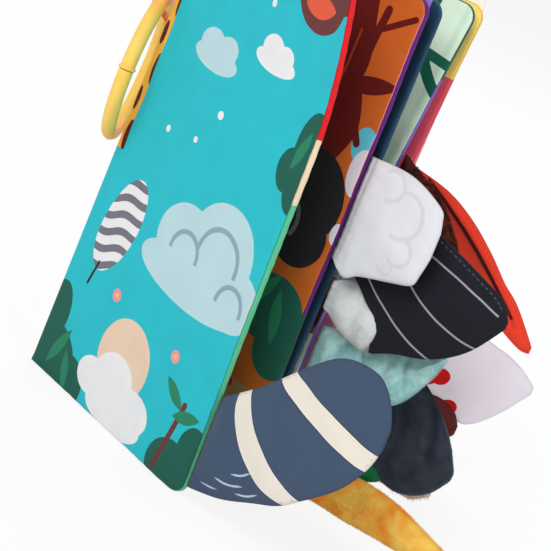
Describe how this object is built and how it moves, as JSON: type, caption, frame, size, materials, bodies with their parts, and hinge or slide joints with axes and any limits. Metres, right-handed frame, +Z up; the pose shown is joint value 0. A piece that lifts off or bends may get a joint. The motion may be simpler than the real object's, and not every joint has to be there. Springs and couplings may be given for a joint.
{
  "type": "crinkle cloth book",
  "caption": "Crinkle cloth book with padded leaves fanned from a sewn spine, cloth and plush tails on the fore edges, and a plastic ring on a ribbon loop.",
  "frame": {"origin": "bottom centre of the spine tape, level with the lower edges of the leaves", "axes": "+Z up along the spine, +X toward the fore edges, -Y toward the front cover"},
  "size_m": [0.2465, 0.2383, 0.24],
  "materials": {
    "spine_tape": "printed cloth tape",
    "loop_ribbon": "woven ribbon",
    "ring_plastic": "smooth translucent yellow",
    "leaf_3_front_cloth": "printed woven cloth",
    "leaf_3_back_cloth": "printed woven cloth",
    "wadding": "soft felted wadding",
    "crinkle_film": "thin crinkle film",
    "leaf_2_front_cloth": "printed woven cloth",
    "leaf_2_back_cloth": "printed woven cloth",
    "front_cover_front_cloth": "printed woven cloth",
    "front_cover_back_cloth": "printed woven cloth",
    "leaf_4_front_cloth": "printed woven cloth",
    "leaf_4_back_cloth": "printed woven cloth",
    "leaf_5_front_cloth": "printed woven cloth",
    "leaf_5_back_cloth": "printed woven cloth",
    "back_cover_front_cloth": "printed woven cloth",
    "back_cover_back_cloth": "printed woven cloth",
    "striped_tail_cloth": "printed woven cloth",
    "satin_tail_cloth": "printed woven cloth",
    "dark_tail_cloth": "printed woven cloth",
    "crescent_tail_cloth": "printed woven cloth",
    "fan_tail_cloth": "printed woven cloth",
    "brown_fur_tail_plush": "plush",
    "fluke_tail_plush": "plush",
    "green_tail_plush": "plush",
    "velvet_tail_plush": "plush",
    "beige_fur_tail_plush": "plush",
    "brown_tail_plush": "plush",
    "grey_tail_plush": "plush",
    "orange_tail_plush": "plush"
  },
  "bodies": {
    "spine": {"spine_tape": "spine_tape", "ring_loop": "loop_ribbon"},
    "ring": {"ring": "ring_plastic"},
    "leaf_3": {"leaf_3_front_cloth": "leaf_3_front_cloth", "leaf_3_back_cloth": "leaf_3_back_cloth", "leaf_3_wadding": "wadding", "leaf_3_crinkle_film": "crinkle_film"},
    "leaf_2": {"leaf_2_front_cloth": "leaf_2_front_cloth", "leaf_2_back_cloth": "leaf_2_back_cloth", "leaf_2_wadding": "wadding", "leaf_2_crinkle_film": "crinkle_film"},
    "front_cover": {"front_cover_front_cloth": "front_cover_front_cloth", "front_cover_back_cloth": "front_cover_back_cloth", "front_cover_wadding": "wadding", "front_cover_crinkle_film": "crinkle_film"},
    "leaf_4": {"leaf_4_front_cloth": "leaf_4_front_cloth", "leaf_4_back_cloth": "leaf_4_back_cloth", "leaf_4_wadding": "wadding", "leaf_4_crinkle_film": "crinkle_film"},
    "leaf_5": {"leaf_5_front_cloth": "leaf_5_front_cloth", "leaf_5_back_cloth": "leaf_5_back_cloth", "leaf_5_wadding": "wadding", "leaf_5_crinkle_film": "crinkle_film"},
    "back_cover": {"back_cover_front_cloth": "back_cover_front_cloth", "back_cover_back_cloth": "back_cover_back_cloth", "back_cover_wadding": "wadding", "back_cover_crinkle_film": "crinkle_film"},
    "striped_tail": {"striped_tail_front_cloth": "striped_tail_cloth", "striped_tail_back_cloth": "striped_tail_cloth", "striped_tail_crinkle_film": "crinkle_film"},
    "satin_tail": {"satin_tail_front_cloth": "satin_tail_cloth", "satin_tail_back_cloth": "satin_tail_cloth", "satin_tail_crinkle_film": "crinkle_film"},
    "dark_tail": {"dark_tail_front_cloth": "dark_tail_cloth", "dark_tail_back_cloth": "dark_tail_cloth", "dark_tail_crinkle_film": "crinkle_film"},
    "crescent_tail": {"crescent_tail_front_cloth": "crescent_tail_cloth", "crescent_tail_back_cloth": "crescent_tail_cloth", "crescent_tail_crinkle_film": "crinkle_film"},
    "fan_tail": {"fan_tail_front_cloth": "fan_tail_cloth", "fan_tail_back_cloth": "fan_tail_cloth", "fan_tail_crinkle_film": "crinkle_film"},
    "brown_fur_tail": {"brown_fur_tail": "brown_fur_tail_plush"},
    "fluke_tail": {"fluke_tail": "fluke_tail_plush"},
    "green_tail": {"green_tail": "green_tail_plush"},
    "velvet_tail": {"velvet_tail": "velvet_tail_plush"},
    "beige_fur_tail": {"beige_fur_tail": "beige_fur_tail_plush"},
    "brown_tail": {"brown_tail": "brown_tail_plush"},
    "grey_tail": {"grey_tail": "grey_tail_plush"},
    "orange_tail": {"orange_tail": "orange_tail_plush"}
  },
  "joints": [
    {"name": "leaf_3_hinge", "type": "hinge", "parent": "spine", "child": "leaf_3", "pos_m": [0.00272, -0.00291, 0], "axis": [0, 0, 1], "range_deg": [-16, 1]},
    {"name": "leaf_2_hinge", "type": "hinge", "parent": "leaf_3", "child": "leaf_2", "pos_m": [0.00038, -0.00732, 0], "axis": [0, 0, 1], "range_deg": [-22, 0]},
    {"name": "front_cover_hinge", "type": "hinge", "parent": "leaf_2", "child": "front_cover", "pos_m": [-0.0022, -0.01161, 0], "axis": [0, 0, -1], "range_deg": [-10, 50]},
    {"name": "leaf_4_hinge", "type": "hinge", "parent": "spine", "child": "leaf_4", "pos_m": [0.00342, 0.00204, 0], "axis": [0, 0, -1], "range_deg": [-40, 1]},
    {"name": "leaf_5_hinge", "type": "hinge", "parent": "leaf_4", "child": "leaf_5", "pos_m": [0.00553, 0.00658, 0], "axis": [0, 0, -1], "range_deg": [-25, 3]},
    {"name": "back_cover_hinge", "type": "hinge", "parent": "leaf_5", "child": "back_cover", "pos_m": [0.00708, 0.01133, 0], "axis": [0, 0, 1], "range_deg": [-20, 66]},
    {"name": "ring_swing", "type": "hinge", "parent": "spine", "child": "ring", "pos_m": [-0.0098, 0.00138, 0.184], "axis": [-0.0349, -0.9994, 0], "range_deg": [-95, 0]},
    {"name": "striped_tail_hinge", "type": "hinge", "parent": "front_cover", "child": "striped_tail", "pos_m": [0.08794, -0.1005, 0.02875], "axis": [-0.0323, -0.0327, 0.9989], "range_deg": [-60, 20]},
    {"name": "satin_tail_hinge", "type": "hinge", "parent": "leaf_2", "child": "satin_tail", "pos_m": [0.10651, -0.07632, 0.14525], "axis": [-0.0251, -0.0386, 0.9989], "range_deg": [-20, 9]},
    {"name": "dark_tail_hinge", "type": "hinge", "parent": "leaf_3", "child": "dark_tail", "pos_m": [0.11156, -0.06758, 0.1375], "axis": [-0.0141, -0.0237, 0.9996], "range_deg": [-9, 15]},
    {"name": "crescent_tail_hinge", "type": "hinge", "parent": "back_cover", "child": "crescent_tail", "pos_m": [0.12992, 0.04196, 0.13275], "axis": [0, 0, 1], "range_deg": [-20, 60]},
    {"name": "fan_tail_hinge", "type": "hinge", "parent": "back_cover", "child": "fan_tail", "pos_m": [0.12992, 0.04196, 0.0815], "axis": [0, 0, 1], "range_deg": [-20, 60]},
    {"name": "brown_fur_tail_hinge", "type": "hinge", "parent": "leaf_4", "child": "brown_fur_tail", "pos_m": [0.1188, -0.05165, 0.1485], "axis": [0.0549, 0.118, 0.9915], "range_deg": [-18, 20]},
    {"name": "fluke_tail_hinge", "type": "hinge", "parent": "leaf_4", "child": "fluke_tail", "pos_m": [0.11684, -0.05575, 0.0735], "axis": [-0.0087, -0.0171, 0.9998], "range_deg": [-9, 15]},
    {"name": "green_tail_hinge", "type": "hinge", "parent": "leaf_4", "child": "green_tail", "pos_m": [0.11816, -0.05308, 0.0275], "axis": [-0.048, -0.0999, 0.9938], "range_deg": [-15, 14]},
    {"name": "velvet_tail_hinge", "type": "hinge", "parent": "leaf_5", "child": "velvet_tail", "pos_m": [0.12472, -0.03813, 0.056], "axis": [-0.0085, -0.0225, 0.9997], "range_deg": [-14, 20]},
    {"name": "beige_fur_tail_hinge", "type": "hinge", "parent": "leaf_5", "child": "beige_fur_tail", "pos_m": [0.12531, -0.03651, 0.0205], "axis": [-0.0248, -0.0688, 0.9973], "range_deg": [-20, 20]},
    {"name": "brown_tail_hinge", "type": "hinge", "parent": "back_cover", "child": "brown_tail", "pos_m": [0.13059, 0.04213, 0.034], "axis": [0, 0, 1], "range_deg": [-20, 60]},
    {"name": "grey_tail_hinge", "type": "hinge", "parent": "leaf_3", "child": "grey_tail", "pos_m": [0.11272, -0.06699, 0.098], "axis": [-0.014, -0.024, 0.9996], "range_deg": [-20, 15]},
    {"name": "orange_tail_hinge", "type": "hinge", "parent": "leaf_2", "child": "orange_tail", "pos_m": [0.11018, -0.07173, 0.019], "axis": [-0.0234, -0.0399, 0.9989], "range_deg": [-20, 15]}
  ]
}
